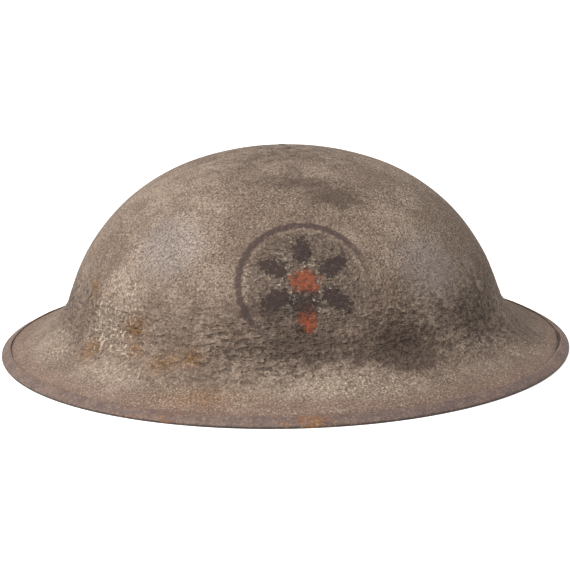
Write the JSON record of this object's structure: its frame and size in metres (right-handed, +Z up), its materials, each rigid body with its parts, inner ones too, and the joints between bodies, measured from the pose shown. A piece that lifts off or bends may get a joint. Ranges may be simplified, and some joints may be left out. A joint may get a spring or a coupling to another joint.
{
  "type": "shallow steel helmet",
  "caption": "Shallow round steel helmet with a wide sloping brim, rivets, a lined and netted inside, hinged bails and a chinstrap.",
  "frame": {"origin": "on the plane that the rim rests on, under the crown's centre", "axes": "+Z up through the crown, -Y to the front, +X to the wearer's left"},
  "size_m": [0.292, 0.308, 0.1038],
  "materials": {
    "shell_paint": "rough sand-textured khaki paint, worn",
    "binding_steel": "worn painted mild steel",
    "rivet_steel": "dark worn paint over steel",
    "bare_steel": "dull aged steel",
    "tack_brass": "dull aged brass",
    "rubber": "aged matt rubber",
    "felt": "pressed wool felt",
    "oilcloth": "black oilcloth, slight sheen",
    "twine": "cotton twine",
    "lace": "braided cotton cord",
    "leather": "aged brown leather"
  },
  "bodies": {
    "helmet": {"shell": "shell_paint", "rim_binding": "binding_steel", "crown_rivet": "rivet_steel", "crown_washer": "bare_steel", "crown_ring": "rubber", "crown_strap_lengthwise": "oilcloth", "crown_strap_crosswise": "oilcloth", "crown_pad": "felt", "rubber_buffers": "rubber", "felt_band": "felt", "sweatband": "oilcloth", "buffer_tacks": "tack_brass", "head_net": "twine", "net_lace": "lace", "left_bail_clip": "bare_steel", "right_bail_clip": "bare_steel", "left_clip_rivet": "rivet_steel", "right_clip_rivet": "rivet_steel", "chinstrap": "leather"},
    "left_bail": {"left_bail": "bare_steel"},
    "right_bail": {"right_bail": "bare_steel"},
    "left_keeper": {"left_strap_keeper": "bare_steel"},
    "right_keeper": {"right_strap_keeper": "bare_steel"}
  },
  "joints": [
    {"name": "left_bail_swing", "type": "hinge", "parent": "helmet", "child": "left_bail", "pos_m": [0.09631, -0.04904, 0.02803], "axis": [0.4166, 0.9091, 0], "range_deg": [-22, 85], "deforming": ["chinstrap"]},
    {"name": "right_bail_swing", "type": "hinge", "parent": "helmet", "child": "right_bail", "pos_m": [-0.09631, -0.04904, 0.02803], "axis": [0.4166, -0.9091, 0], "range_deg": [-22, 85], "deforming": ["chinstrap"]},
    {"name": "left_keeper_slide", "type": "slide", "parent": "helmet", "child": "left_keeper", "axis": [-0.9972, 0, -0.075], "range_m": [-0.014, 0.008]},
    {"name": "right_keeper_slide", "type": "slide", "parent": "helmet", "child": "right_keeper", "axis": [0.9972, 0, -0.075], "range_m": [-0.014, 0.008]}
  ]
}
